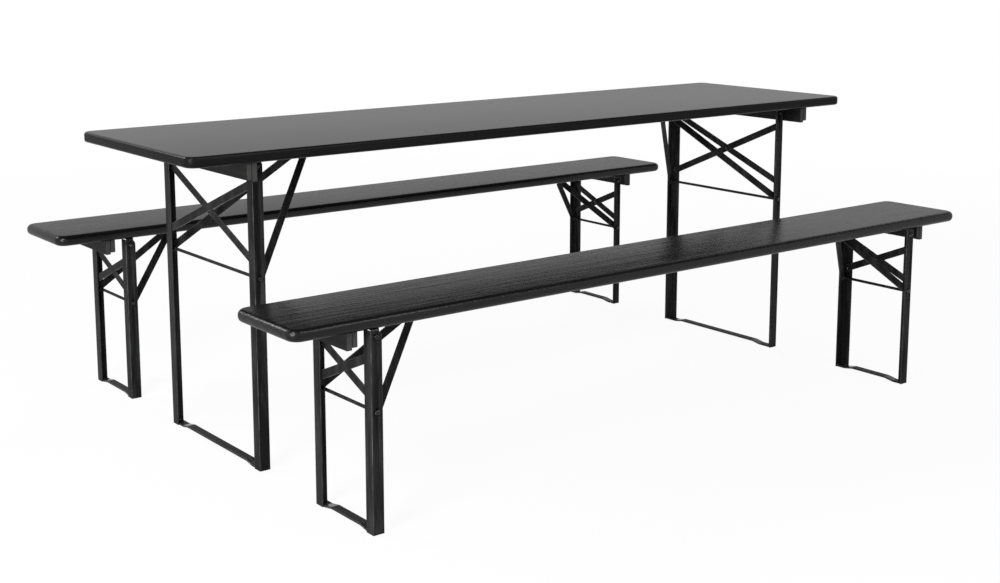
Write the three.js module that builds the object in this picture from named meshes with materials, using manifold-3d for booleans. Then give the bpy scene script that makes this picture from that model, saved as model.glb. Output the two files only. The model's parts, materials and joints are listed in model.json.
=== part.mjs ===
// A folding table and two folding benches: wooden boards on hinged frames of angle steel.
// Millimetres, +Z up. The boards run along X, the front is towards -Y, and the origin lies on
// the floor under the middle of the table.
import * as THREE from "three";
import { mergeVertices } from "three/addons/utils/BufferGeometryUtils.js";
import Module from "manifold-3d";

// Table
const tableLength = 2200;
const tableWidth = 600;
const tableHeight = 780;
const tableThickness = 26;
const tableEdgeRadius = 7;
const tableCornerRadius = 28;
const tableFrameInset = 190; // from the end of the board to the outer face of the legs
const tableLegInset = 66; // from the side of the board to the side of the legs
const tableRodDrop = 285; // the drops are measured down from the underside of the board
const tableCrossTopDrop = 60;
const tableCrossLowDrop = 232;
const tableInnerCrossLowDrop = 250; // the inner bar of the X is a little steeper
const tableBraceReach = 286; // from the outer face of the legs to the tip of the brace
const tableBattenInset = 11; // from the side of the board to the end of a batten
const tableBattenGap = 15; // from the outer face of the legs to a batten
const tableBattenDepth = 45;
const tableFootFlat = 45; // length of each flat end of the foot bar

// Benches
const benchLength = 2200;
const benchWidth = 250;
const benchHeight = 480;
const benchThickness = 28;
const benchEdgeRadius = 12.5;
const benchCornerRadius = 30;
const benchGap = 185; // between the sides of the table and a bench, seen from above
const benchFrameInset = 190;
const benchLegInset = 7;
const benchRodDrop = 181;
const benchCrossTopDrop = 63;
const benchCrossLowDrop = 152;
const benchBraceReach = 187;
const benchBattenInset = 16;
const benchBattenGap = 26;
const benchBattenDepth = 40;
const benchFootFlat = 28;

// Steel sections
const angleFlange = 28;
const angleThickness = 3;
const crossBarWidth = 20;
const crossBarThickness = 3;
const crossSpacerDiameter = 14;
const crossRivetDiameter = 12;
const footBarWidth = 22;
const footBarThickness = 5;
const footBarRise = 5;
const footBarSlope = 28; // length of the sloped stretch beside each flat end
const braceArmThickness = 4;
const braceGussetLength = 26;
const braceTipWidth = 18;
const rodDiameter = 8;
const headDiameter = 12;
const headHeight = 4;
const headShoulder = 0.8; // radius at the shoulder of a head, as a share of the whole
const headShoulderRise = 0.7; // height of the shoulder, as a share of the whole
const headSink = 1; // how far a shank runs into its head

// Hinge plate and catch
const plateThickness = 3;
const lugThickness = 4;
const pinDiameter = 8;
const strapWidth = 30;
const catchThickness = 2;
const catchWidth = 44;
const catchDrop = 9; // from the underside of the board to the top of the leaf
const catchWindowBack = 16; // from the tip of the brace to the window's edge on the leg's side
const catchWindowFront = 18; // and to the edge where the brace leaves
const catchWindowWidth = 28;
const catchRim = 12; // steel beyond the window
const catchRoot = 18; // steel before the window
const tipProud = 2; // how far the tip stands above the leaf

// Battens
const battenThickness = 27;
const battenDeepLayer = 14; // thickness of the layer that hangs lower
const battenStep = 5;

// Clearances
const legTopGap = 4; // from the top of a leg to the board
const seatGap = 0.3; // between pieces that are fastened together
const turnGap = 0.4; // between pieces that turn on each other
const lugGap = 1; // beside the turning legs and arms

// Fineness of round stretches
const arcSteps = 3; // an arc gets twice as many sides
const edgeSteps = 3;
const turnedSides = 16;
const leastFlat = 1; // straight stretch kept between two rounded edges
const endSlack = 0.01; // keeps a full round end from closing its own short side
const cutOver = 1; // how far a cutting tool passes the face it cuts
const mergeDistance = 1e-4;

const wasm = await Module();
wasm.setup();

// Solids and geometries

function solidOf(geometry) {
  const bare = geometry.clone();
  bare.deleteAttribute("normal");
  bare.deleteAttribute("uv");
  const merged = mergeVertices(bare, mergeDistance);
  return new wasm.Manifold(
    new wasm.Mesh({
      numProp: 3,
      vertProperties: new Float32Array(merged.attributes.position.array),
      triVerts: new Uint32Array(merged.index.array),
    }),
  );
}

function geometryOf(solid) {
  const mesh = solid.getMesh();
  const geometry = new THREE.BufferGeometry();
  geometry.setAttribute("position", new THREE.BufferAttribute(mesh.vertProperties, 3));
  geometry.setIndex(new THREE.BufferAttribute(mesh.triVerts, 1));
  geometry.computeVertexNormals();
  return geometry;
}

function join(...geometries) {
  return geometryOf(geometries.map(solidOf).reduce((sum, solid) => sum.add(solid)));
}

function cut(geometry, ...tools) {
  return geometryOf(tools.map(solidOf).reduce((rest, tool) => rest.subtract(tool), solidOf(geometry)));
}

function overlap(first, second) {
  return geometryOf(solidOf(first).intersect(solidOf(second)));
}

function box(low, high) {
  const size = high.map((value, axis) => value - low[axis]);
  const middle = high.map((value, axis) => (value + low[axis]) / 2);
  return new THREE.BoxGeometry(...size).translate(...middle);
}

function polygon(points) {
  return new THREE.Shape(points.map(([x, y]) => new THREE.Vector2(x, y)));
}

function roundedRectangle(length, width, radius) {
  const x = length / 2;
  const y = width / 2;
  const shape = new THREE.Shape();
  shape.moveTo(-x + radius, -y);
  shape.lineTo(x - radius, -y);
  shape.absarc(x - radius, -y + radius, radius, -Math.PI / 2, 0);
  shape.lineTo(x, y - radius);
  shape.absarc(x - radius, y - radius, radius, 0, Math.PI / 2);
  shape.lineTo(-x + radius, y);
  shape.absarc(-x + radius, y - radius, radius, Math.PI / 2, Math.PI);
  shape.lineTo(-x, -y + radius);
  shape.absarc(-x + radius, -y + radius, radius, Math.PI, 1.5 * Math.PI);
  return shape;
}

// A shape drawn in X and Y, made thick along Z.
function extrude(shape, depth) {
  return new THREE.ExtrudeGeometry(shape, { depth, bevelEnabled: false, curveSegments: arcSteps });
}

// A shape drawn in X and Z, made thick along Y between two places.
function extrudeAcross(shape, from, to) {
  return extrude(shape, to - from).rotateX(Math.PI / 2).translate(0, to, 0);
}

// A shape drawn in Y and Z, made thick along X between two places.
function extrudeInward(shape, from, to) {
  return extrude(shape, to - from).rotateX(Math.PI / 2).rotateZ(Math.PI / 2).translate(from, 0, 0);
}

// A round piece on the Y axis, from a profile of radius and place along the axis.
function turned(profile) {
  return new THREE.LatheGeometry(profile.map(([radius, y]) => new THREE.Vector2(radius, y)), turnedSides);
}

function roundBar(diameter, from, to) {
  return turned([[0, from], [diameter / 2, from], [diameter / 2, to], [0, to]]);
}

// A domed rivet head that rises from a place along Y to its crown, on either side.
function rivetHead(base, side) {
  const radius = headDiameter / 2;
  const rise = (share) => base + side * headHeight * share;
  const shoulder = [radius * headShoulder, rise(headShoulderRise)];
  const profile = [[0, rise(0)], [radius, rise(0)], shoulder, [0, rise(1)]];
  return turned(side > 0 ? profile : profile.reverse());
}

// Materials

function stainedWood() {
  return new THREE.MeshStandardMaterial({ color: 0x1a1a1a, roughness: 0.38, metalness: 0 });
}

function paintedBoard() {
  return new THREE.MeshStandardMaterial({ color: 0x1e1e1f, roughness: 0.4, metalness: 0 });
}

function blackSteel() {
  return new THREE.MeshStandardMaterial({ color: 0x191a1b, roughness: 0.45, metalness: 0.3 });
}

function springSteel() {
  return new THREE.MeshStandardMaterial({ color: 0x6a6c6e, roughness: 0.35, metalness: 0.9 });
}

function zincSteel() {
  return new THREE.MeshStandardMaterial({ color: 0x2c2d2e, roughness: 0.4, metalness: 0.6 });
}

function piece(name, geometry, material) {
  const mesh = new THREE.Mesh(geometry, material);
  mesh.name = name;
  return mesh;
}

// Sizes of one leg frame. Its own frame has X inwards along the board from the outer face of the
// legs, Y across and Z up from the floor.
function frameSizes(kind) {
  const underside = kind.height - kind.thickness;
  const pivotX = angleFlange / 2;
  const pivotZ = underside - legTopGap - angleFlange / 2;
  const rodZ = underside - kind.rodDrop;
  const flangeFace = kind.legSpread / 2 - angleThickness;
  const tipX = kind.braceReach;
  const tipZ = underside - catchDrop + tipProud;
  const halfArm = braceArmThickness / 2;
  const span = Math.hypot(tipX - pivotX, tipZ - rodZ);
  const lean = Math.asin(halfArm / span);
  const braceAngle = Math.atan2(tipZ - rodZ, tipX - pivotX) - lean;
  return {
    underside,
    pivotX,
    pivotZ,
    rodZ,
    flangeFace,
    tipX,
    braceAngle,
    braceLength: span * Math.cos(lean),
    rivetY: kind.legSpread / 2 - angleFlange / 2,
    lugRadius: angleFlange / 2 - angleThickness - lugGap,
  };
}

// Board and battens

function boardGeometry(kind) {
  const edge = Math.min(kind.edgeRadius, kind.thickness / 2 - leastFlat, kind.cornerRadius - leastFlat);
  const outline = roundedRectangle(kind.length, kind.width, kind.cornerRadius);
  const geometry = new THREE.ExtrudeGeometry(outline, {
    depth: kind.thickness - 2 * edge,
    bevelThickness: edge,
    bevelSize: edge,
    bevelOffset: -edge,
    bevelSegments: edgeSteps,
    curveSegments: arcSteps,
  });
  return geometry.translate(0, 0, kind.height - kind.thickness + edge);
}

function battenGeometry(kind, sizes) {
  const inner = -kind.battenGap;
  const outer = inner - battenThickness;
  const step = kind.battenDeepInside ? inner - battenDeepLayer : outer + battenDeepLayer;
  const top = sizes.underside - seatGap;
  const low = sizes.underside - kind.battenDepth;
  const outerLow = kind.battenDeepInside ? low + battenStep : low;
  const innerLow = kind.battenDeepInside ? low : low + battenStep;
  const section = [[outer, outerLow], [step, outerLow], [step, innerLow], [inner, innerLow]];
  section.push([inner, top], [outer, top]);
  return extrudeAcross(polygon(section), -kind.battenLength / 2, kind.battenLength / 2);
}

// Leg frame

// An angle-steel leg: one flange faces the end of the board, the other faces sideways and holds the
// hinge pin and the rod. The sideways flange is rounded where it turns under the board.
function legGeometry(kind, sizes, side) {
  const outside = kind.legSpread / 2;
  const top = sizes.pivotZ + angleFlange / 2;
  const across = (near, far) => (side > 0 ? [near, far] : [-far, -near]);
  const [endFrom, endTo] = across(outside - angleFlange, outside);
  const [sideFrom, sideTo] = across(sizes.flangeFace, outside);
  const outline = new THREE.Shape();
  outline.moveTo(0, 0);
  outline.lineTo(angleFlange, 0);
  outline.lineTo(angleFlange, sizes.pivotZ);
  outline.absarc(sizes.pivotX, sizes.pivotZ, angleFlange / 2, 0, Math.PI / 2);
  outline.lineTo(0, top);
  const hole = (diameter, z) =>
    roundBar(diameter + 2 * turnGap, sideFrom - cutOver, sideTo + cutOver).translate(sizes.pivotX, 0, z);
  return cut(
    join(
      box([0, endFrom, 0], [angleThickness, endTo, top]),
      extrudeAcross(outline, sideFrom, sideTo),
    ),
    hole(pinDiameter, sizes.pivotZ),
    hole(rodDiameter, sizes.rodZ),
  );
}

// A flat bar between the feet, whose middle is bent up clear of the floor.
function footBarGeometry(kind, sizes) {
  const end = sizes.flangeFace - seatGap;
  const flat = end - kind.footFlat;
  const raised = flat - footBarSlope;
  const lower = [[-end, 0], [-flat, 0], [-raised, footBarRise]];
  lower.push([raised, footBarRise], [flat, 0], [end, 0]);
  const upper = lower.map(([y, z]) => [y, z + footBarThickness]).reverse();
  const from = angleThickness + seatGap;
  return extrudeInward(polygon([...lower, ...upper]), from, from + footBarWidth);
}

// Length, tilt and middle of one bar of the X.
function crossBarPlaces(kind, sizes, lowDrop) {
  const rise = lowDrop - kind.crossTopDrop;
  return {
    length: Math.hypot(2 * sizes.rivetY, rise),
    tilt: Math.atan2(rise, 2 * sizes.rivetY),
    centre: sizes.underside - (kind.crossTopDrop + lowDrop) / 2,
  };
}

// A flat bar with round ends, lying in the YZ plane about its own middle. Its length is measured
// between the rivets.
function crossBarGeometry(length) {
  const outline = roundedRectangle(length + crossBarWidth, crossBarWidth, crossBarWidth / 2 - endSlack);
  return extrudeInward(outline, 0, crossBarThickness);
}

const outerBarX = angleThickness + seatGap;
const innerBarX = outerBarX + crossBarThickness + seatGap;

// The inner bar of the X reaches the legs through a round spacer at each end.
function innerCrossBarGeometry(length) {
  const spacer = (y) =>
    extrudeInward(
      new THREE.Shape().absarc(y, 0, crossSpacerDiameter / 2, 0, 2 * Math.PI),
      outerBarX,
      innerBarX + crossBarThickness / 2,
    );
  const bar = crossBarGeometry(length).translate(innerBarX, 0, 0);
  return join(bar, spacer(-length / 2), spacer(length / 2));
}

// Both bars of a small X in one piece, held by the rivet through their middle.
function rivetedCross({ length, tilt }) {
  const rivet = new THREE.Shape().absarc(0, 0, crossRivetDiameter / 2, 0, 2 * Math.PI);
  return join(
    crossBarGeometry(length).translate(outerBarX, 0, 0).rotateX(-tilt),
    innerCrossBarGeometry(length).rotateX(tilt),
    extrudeInward(rivet, outerBarX, innerBarX + 2 * crossBarThickness),
  );
}

// Brace, in a frame of its own: X from the rod to the tip, Y across, Z square to the V.

// Each arm is a flat bar on edge. Its eye lies along the leg, and from there it slants to the gusset.
function armShape(sizes) {
  const foot = sizes.flangeFace - lugGap;
  const bend = sizes.lugRadius;
  const slant = (foot - braceArmThickness) / (sizes.braceLength - bend);
  const outerEdge = (x) => foot - slant * Math.max(0, x - bend);
  return { bend, outerEdge, gussetBase: sizes.braceLength - braceGussetLength };
}

function armGeometry(sizes, side, to) {
  const { bend, outerEdge } = armShape(sizes);
  const eye = sizes.lugRadius;
  const fromSide = new THREE.Shape();
  fromSide.moveTo(to, -eye);
  fromSide.lineTo(to, eye);
  fromSide.lineTo(0, eye);
  fromSide.absarc(0, 0, eye, Math.PI / 2, 1.5 * Math.PI);
  const outer = [-eye, bend, to].map((x) => [x, outerEdge(x)]);
  const inner = outer.map(([x, y]) => [x, y - braceArmThickness]);
  const placed = [...inner, ...outer.reverse()].map(([x, y]) => [x, side * y]);
  const fromAbove = polygon(side > 0 ? placed : placed.reverse());
  return overlap(
    extrudeAcross(fromSide, -sizes.flangeFace, sizes.flangeFace),
    extrude(fromAbove, 2 * eye).translate(0, 0, -eye),
  );
}

// The gusset that closes the V and ends in the tip held by the catch.
function gussetGeometry(sizes) {
  const { outerEdge, gussetBase } = armShape(sizes);
  const side = outerEdge(gussetBase);
  const tip = braceTipWidth / 2;
  const shoulder = sizes.braceLength - tip;
  const outline = [[gussetBase, -side], [shoulder, -tip], [sizes.braceLength, -tip]];
  outline.push([sizes.braceLength, tip], [shoulder, tip], [gussetBase, side]);
  return extrude(polygon(outline), braceArmThickness).translate(0, 0, -braceArmThickness / 2);
}

// The rod turns in the sideways flanges of both legs and is headed outside them.
function rodGeometry(kind) {
  const end = kind.legSpread / 2 + turnGap;
  return join(
    roundBar(rodDiameter, -end - headSink, end + headSink),
    rivetHead(end, 1),
    rivetHead(-end, -1),
  );
}

// Hinge plate and catch

function catchPlaces(sizes) {
  const root = sizes.tipX - catchWindowBack - catchRoot;
  return { root, end: sizes.tipX + catchWindowFront + catchRim };
}

function hingePlateGeometry(kind, sizes) {
  const { pivotX, pivotZ, lugRadius, flangeFace } = sizes;
  const top = sizes.underside - seatGap;
  const low = top - plateThickness;
  const lugFace = flangeFace - turnGap;
  const lugBack = lugFace - lugThickness;
  const root = catchPlaces(sizes).root - seatGap;
  const lug = new THREE.Shape();
  lug.moveTo(pivotX - lugRadius, top);
  lug.lineTo(pivotX - lugRadius, pivotZ);
  lug.absarc(pivotX, pivotZ, lugRadius, Math.PI, 2 * Math.PI);
  lug.lineTo(pivotX + lugRadius, top);
  const headBase = kind.legSpread / 2 + turnGap;
  const pin = join(
    roundBar(pinDiameter, lugBack + lugThickness / 2, headBase + headSink),
    rivetHead(headBase, 1),
  ).translate(pivotX, 0, pivotZ);
  const farPin = pin.clone().rotateZ(Math.PI).translate(2 * pivotX, 0, 0);
  const leafLow = sizes.underside - catchDrop - catchThickness;
  return join(
    box([pivotX - lugRadius, -lugFace, low], [pivotX + lugRadius, lugFace, top]),
    box([pivotX, -strapWidth / 2, low], [root, strapWidth / 2, top]),
    box([root - plateThickness, -strapWidth / 2, leafLow], [root, strapWidth / 2, top]),
    extrudeAcross(lug, lugBack, lugFace),
    extrudeAcross(lug, -lugFace, -lugBack),
    pin,
    farPin,
  );
}

// A leaf of spring steel with a window for the tip of the brace and a rounded end to press.
function catchGeometry(sizes) {
  const { root, end } = catchPlaces(sizes);
  const half = catchWidth / 2;
  const round = catchRim;
  const leaf = new THREE.Shape();
  leaf.moveTo(root, -half);
  leaf.lineTo(end - round, -half);
  leaf.absarc(end - round, -half + round, round, -Math.PI / 2, 0);
  leaf.lineTo(end, half - round);
  leaf.absarc(end - round, half - round, round, 0, Math.PI / 2);
  leaf.lineTo(root, half);
  const from = sizes.tipX - catchWindowBack;
  const to = sizes.tipX + catchWindowFront;
  const side = catchWindowWidth / 2;
  leaf.holes.push(polygon([[from, -side], [from, side], [to, side], [to, -side]]));
  return extrude(leaf, catchThickness).translate(0, 0, sizes.underside - catchDrop - catchThickness);
}

// Assembly

// The table's crossed bars and brace arms are separate pieces. A bench's are short, so its X is one
// riveted piece and its brace one welded piece.
function crossPieces(kind, sizes, prefix) {
  const outerPlaces = crossBarPlaces(kind, sizes, kind.crossLowDrop);
  if (!kind.separateBars) {
    const cross = piece(prefix + "cross_bars", rivetedCross(outerPlaces), blackSteel());
    cross.position.z = outerPlaces.centre;
    return [cross];
  }
  const outer = piece(prefix + "outer_cross_bar", crossBarGeometry(outerPlaces.length), blackSteel());
  outer.position.set(outerBarX, 0, outerPlaces.centre);
  outer.rotation.x = -outerPlaces.tilt;
  const innerPlaces = crossBarPlaces(kind, sizes, kind.innerCrossLowDrop);
  const inner = piece(prefix + "inner_cross_bar", innerCrossBarGeometry(innerPlaces.length), blackSteel());
  inner.position.z = innerPlaces.centre;
  inner.rotation.x = innerPlaces.tilt;
  return [outer, inner];
}

function braceGroup(kind, sizes, prefix, sideNames) {
  const group = new THREE.Group();
  group.position.set(sizes.pivotX, 0, sizes.rodZ);
  group.rotation.y = -sizes.braceAngle;
  const { gussetBase } = armShape(sizes);
  const lapEnd = gussetBase + braceArmThickness;
  const arm = (side, to) => armGeometry(sizes, side, to);
  if (!kind.separateBars) {
    const whole = join(rodGeometry(kind), arm(1, lapEnd), arm(-1, lapEnd), gussetGeometry(sizes));
    group.add(piece(prefix + "brace", whole, blackSteel()));
    return group;
  }
  const rodHole = roundBar(rodDiameter + 2 * seatGap, -sizes.flangeFace, sizes.flangeFace);
  const plainArm = cut(arm(1, gussetBase - seatGap), rodHole);
  const tippedArm = cut(join(arm(-1, lapEnd), gussetGeometry(sizes)), rodHole);
  group.add(
    piece(prefix + "brace_rod", rodGeometry(kind), blackSteel()),
    piece(prefix + "brace_" + sideNames.plus + "_arm", plainArm, blackSteel()),
    piece(prefix + "brace_" + sideNames.minus + "_arm", tippedArm, blackSteel()),
  );
  return group;
}

function endGroup(kind, end) {
  const sizes = frameSizes(kind);
  const prefix = kind.name + "_" + end.name + "_";
  const group = new THREE.Group();
  group.position.x = end.side * (kind.length / 2 - kind.frameInset);
  group.rotation.z = end.side > 0 ? Math.PI : 0;
  group.add(
    piece(prefix + "batten", battenGeometry(kind, sizes), stainedWood()),
    piece(prefix + "hinge_plate", hingePlateGeometry(kind, sizes), zincSteel()),
    piece(prefix + "spring_catch", catchGeometry(sizes), springSteel()),
    piece(prefix + end.sideNames.minus + "_leg", legGeometry(kind, sizes, -1), blackSteel()),
    piece(prefix + end.sideNames.plus + "_leg", legGeometry(kind, sizes, 1), blackSteel()),
    piece(prefix + "foot_bar", footBarGeometry(kind, sizes), blackSteel()),
    ...crossPieces(kind, sizes, prefix),
    braceGroup(kind, sizes, prefix, end.sideNames),
  );
  return group;
}

const ends = [
  { name: "left", side: -1, sideNames: { minus: "front", plus: "rear" } },
  { name: "right", side: 1, sideNames: { minus: "rear", plus: "front" } },
];

const table = {
  name: "table",
  boardName: "table_top",
  boardMaterial: paintedBoard,
  length: tableLength,
  width: tableWidth,
  height: tableHeight,
  thickness: tableThickness,
  edgeRadius: tableEdgeRadius,
  cornerRadius: tableCornerRadius,
  frameInset: tableFrameInset,
  legSpread: tableWidth - 2 * tableLegInset,
  rodDrop: tableRodDrop,
  crossTopDrop: tableCrossTopDrop,
  crossLowDrop: tableCrossLowDrop,
  innerCrossLowDrop: tableInnerCrossLowDrop,
  braceReach: tableBraceReach,
  battenLength: tableWidth - 2 * tableBattenInset,
  battenDepth: tableBattenDepth,
  battenGap: tableBattenGap,
  battenDeepInside: true,
  footFlat: tableFootFlat,
  separateBars: true,
  offset: 0,
};

const bench = {
  boardMaterial: stainedWood,
  length: benchLength,
  width: benchWidth,
  height: benchHeight,
  thickness: benchThickness,
  edgeRadius: benchEdgeRadius,
  cornerRadius: benchCornerRadius,
  frameInset: benchFrameInset,
  legSpread: benchWidth - 2 * benchLegInset,
  rodDrop: benchRodDrop,
  crossTopDrop: benchCrossTopDrop,
  crossLowDrop: benchCrossLowDrop,
  braceReach: benchBraceReach,
  battenLength: benchWidth - 2 * benchBattenInset,
  battenDepth: benchBattenDepth,
  battenGap: benchBattenGap,
  battenDeepInside: false,
  footFlat: benchFootFlat,
  separateBars: false,
};

const benchOffset = tableWidth / 2 + benchGap + benchWidth / 2;
const furniture = [
  table,
  { ...bench, name: "near_bench", boardName: "near_bench_seat", offset: -benchOffset },
  { ...bench, name: "far_bench", boardName: "far_bench_seat", offset: benchOffset },
];

const set = new THREE.Group();
for (const kind of furniture) {
  const group = new THREE.Group();
  group.position.y = kind.offset;
  group.add(piece(kind.boardName, boardGeometry(kind), kind.boardMaterial()));
  group.add(...ends.map((end) => endGroup(kind, end)));
  set.add(group);
}

export default set;
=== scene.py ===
# %% [markdown]
# # A black folding table and its two benches
#
# The real set is three boards on hinged frames of angle steel. The frames fold flat under the
# boards, and a braced tip that clicks into a spring leaf keeps them upright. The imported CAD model
# already holds every size and every hinge, so this lesson keeps it as a fixed frame and dresses
# each of its nodes with a finer piece: rolled steel corners, eased edges, rivets, welds and grain.

# %% Load the CAD frame
import json
import math
from contextlib import contextmanager
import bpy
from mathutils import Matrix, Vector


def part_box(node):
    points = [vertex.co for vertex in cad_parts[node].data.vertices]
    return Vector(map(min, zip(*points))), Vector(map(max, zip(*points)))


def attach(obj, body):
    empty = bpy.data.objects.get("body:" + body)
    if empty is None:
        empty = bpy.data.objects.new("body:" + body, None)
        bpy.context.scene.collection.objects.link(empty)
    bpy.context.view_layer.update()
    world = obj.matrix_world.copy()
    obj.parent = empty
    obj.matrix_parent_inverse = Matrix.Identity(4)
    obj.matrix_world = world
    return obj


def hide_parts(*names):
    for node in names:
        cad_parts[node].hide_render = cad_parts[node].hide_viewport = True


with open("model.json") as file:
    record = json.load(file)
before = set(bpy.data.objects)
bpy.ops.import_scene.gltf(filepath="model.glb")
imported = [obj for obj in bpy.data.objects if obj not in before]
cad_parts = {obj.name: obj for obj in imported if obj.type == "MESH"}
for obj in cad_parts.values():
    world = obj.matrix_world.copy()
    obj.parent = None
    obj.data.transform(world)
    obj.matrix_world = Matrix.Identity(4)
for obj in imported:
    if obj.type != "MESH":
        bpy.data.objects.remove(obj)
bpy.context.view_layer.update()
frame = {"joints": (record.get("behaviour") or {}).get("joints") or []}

from types import SimpleNamespace

import bmesh
import bpy
from mathutils import Matrix, Vector

scene = bpy.context.scene
scene.view_settings.view_transform = "Standard"


def add_object(name, data):
    """A new object in the scene, with a mesh, a lamp or a camera as its data."""
    item = bpy.data.objects.new(name, data)
    scene.collection.objects.link(item)
    return item


# %% [markdown]
# ## The camera
#
# The photograph looks at the set from the front left, a little above the table. The place and the
# lens come from lining up the corners of the boards and the feet. Tilting the camera further down
# would frame the set without a shift, but then the legs would lean together more than they do in
# the photograph. A small downward shift of the lens keeps them straighter.

# %% Camera at the photograph's angle
picture_width = 1000
lens_in_pixels = 1473.4
camera_place = Vector((-2.5201, -3.2335, 1.2359))
camera_turn = 0.6614  # from straight ahead along +Y towards +X
camera_tilt = 0.1648  # downwards
lens_shift = -0.1  # as a share of the picture's width

camera_data = bpy.data.cameras.new("photo_camera")
camera_data.sensor_fit = "HORIZONTAL"
camera_data.lens = lens_in_pixels / picture_width * camera_data.sensor_width
camera_data.shift_y = lens_shift
camera = add_object("photo_camera", camera_data)
level = math.cos(camera_tilt)
looking = Vector((math.sin(camera_turn) * level,
                  math.cos(camera_turn) * level,
                  -math.sin(camera_tilt)))
camera.location = camera_place
camera.rotation_euler = looking.to_track_quat("-Z", "Y").to_euler()
scene.camera = camera
print("camera lens in millimetres:", round(camera_data.lens, 2))

# %% [markdown]
# ## Small helpers for node materials
#
# Every finish here is a network of nodes. Typing each node and each link in full hides the idea,
# so helpers do it. The first two set or link the sockets of a node and add a node. Three more add
# what every finish needs: a stretched noise, a ramp and a relief. The last one starts a finish.
# Object coordinates are used throughout. Each piece keeps its place in its mesh, so these are
# metres on the real object and a grain has its true scale on every piece.

# %% Helpers for nodes
def wire(tree, node, **sockets):
    """Fills sockets of a node by name. A socket of another node is linked, a value is set."""
    for name, value in sockets.items():
        socket = node.inputs[name.replace("_", " ")]
        if isinstance(value, bpy.types.NodeSocket):
            tree.links.new(value, socket)
        else:
            socket.default_value = value


def add_node(tree, kind, settings=(), links=(), **sockets):
    """Adds a node. Links go to its sockets by number, for those that share a name."""
    node = tree.nodes.new("ShaderNode" + kind)
    for name, value in settings:
        setattr(node, name, value)
    for number, source in links:
        tree.links.new(source, node.inputs[number])
    wire(tree, node, **sockets)
    return node


def noise(tree, stretch, detail=4.0, distortion=0.0, turn=0.0):
    """Noise with so many features per metre along X, Y and Z, turned about Z."""
    place = add_node(tree, "TexCoord").outputs["Object"]
    mapping = add_node(tree, "Mapping", Vector=place, Scale=stretch, Rotation=(0, 0, turn))
    texture = add_node(tree, "TexNoise", Vector=mapping.outputs["Vector"], Scale=1.0,
                       Detail=detail, Distortion=distortion)
    return texture.outputs["Fac"]


def ramp(tree, source, low, high, start=0.35, end=0.65):
    """Blends from one value to another. A value is a grey level or a colour."""
    node = add_node(tree, "ValToRGB", Fac=source)
    for stop, place, value in zip(node.color_ramp.elements, (start, end), (low, high)):
        stop.position = place
        stop.color = (*value, 1) if isinstance(value, tuple) else (value, value, value, 1)
    return node.outputs["Color"]


def bump(tree, height, depth, under=None):
    """Relief of a depth in metres, on top of another relief."""
    node = add_node(tree, "Bump", Height=height, Distance=depth, Strength=1.0)
    if under:
        tree.links.new(under, node.inputs["Normal"])
    return node.outputs["Normal"]


def finish(name, **sockets):
    """A material whose surface shader has the given sockets set. Links are made afterwards."""
    material = bpy.data.materials.new(name)
    material.use_nodes = True
    tree = material.node_tree
    shader = tree.nodes["Principled BSDF"]
    wire(tree, shader, **sockets)
    return material, tree, shader

# %% [markdown]
# ## Floor, sky and lamps
#
# The photograph is cut out on white. A white card lit until it clips would throw far too much
# light on black furniture. Instead the floor looks white to the camera by a share of its own glow
# and keeps a share of ordinary shading, which carries the shadow. Further out the glow takes over,
# so that no edge shows from any side. From below the floor is clear, so that the undersides of the
# boards can be looked at. The sky works the same way: white where it is looked at, and a plain
# soft grey where it lights the scene. Where it is mirrored it is white near the horizon, as a
# backdrop is, and dim higher up, as a studio ceiling is. The dim part gives every rounded edge of
# the boards a dark line beside the pale top.

# %% Floor plane and shader helpers
floor_half = 40.0  # metres
floor_gap = 0.0005

floor_mesh = bpy.data.meshes.new("studio_floor")
corners = [(x * floor_half, y * floor_half, -floor_gap)
           for x, y in ((-1, -1), (1, -1), (1, 1), (-1, 1))]
floor_mesh.from_pydata(corners, [], [(0, 1, 2, 3)])
floor = add_object("studio_floor", floor_mesh)


def math_node(tree, operation, *values):
    """The result of an operation on other nodes' values."""
    node = add_node(tree, "Math", [("operation", operation)], enumerate(values))
    return node.outputs[0]


def either(tree, first, second):
    """The larger of two masks."""
    return math_node(tree, "MAXIMUM", first, second)


def seen_and_mirrored(tree):
    """Two masks: rays from the camera or through glass, and mirrored rays."""
    path = add_node(tree, "LightPath").outputs
    return either(tree, path["Is Camera Ray"], path["Is Transmission Ray"]), path["Is Glossy Ray"]


def mixed(tree, share, low, high):
    """A shader that turns from one into another as a share goes from 0 to 1."""
    node = add_node(tree, "MixShader", links=((1, low), (2, high)), Fac=share)
    return node.outputs["Shader"]

# %% Floor paint
floor_colour = (0.85, 0.85, 0.85, 1)
floor_shade = 0.07  # share of ordinary shading near the set
fade_start = 2.2  # metres from the middle of the set
fade_end = 5.0

floor_paint = bpy.data.materials.new("white_floor")
floor_paint.use_nodes = True
tree = floor_paint.node_tree
tree.nodes.clear()
place = add_node(tree, "TexCoord").outputs["Object"]
distance = add_node(tree, "VectorMath", [("operation", "LENGTH")], Vector=place)
far = add_node(tree, "MapRange", Value=distance.outputs["Value"],
               From_Min=fade_start, From_Max=fade_end)
card = add_node(tree, "BsdfDiffuse", Color=floor_colour).outputs["BSDF"]
glow = add_node(tree, "Emission", Strength=1.0).outputs["Emission"]
near_floor = mixed(tree, 1 - floor_shade, card, glow)
shown_floor = mixed(tree, far.outputs["Result"], near_floor, glow)
seen, mirrored = seen_and_mirrored(tree)
upper_side = mixed(tree, either(tree, seen, mirrored), card, shown_floor)
clear = add_node(tree, "BsdfTransparent").outputs["BSDF"]
from_below = add_node(tree, "NewGeometry").outputs["Backfacing"]
add_node(tree, "OutputMaterial", Surface=mixed(tree, from_below, upper_side, clear))
floor_mesh.materials.append(floor_paint)
print("floor:", floor_paint.name)

# %% Sky
sky_light = 0.3
ceiling_light = 0.08
backdrop_top = 0.46  # height of a mirrored direction, 1 being straight up
ceiling_start = 0.64
white = (1, 1, 1, 1)

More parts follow.
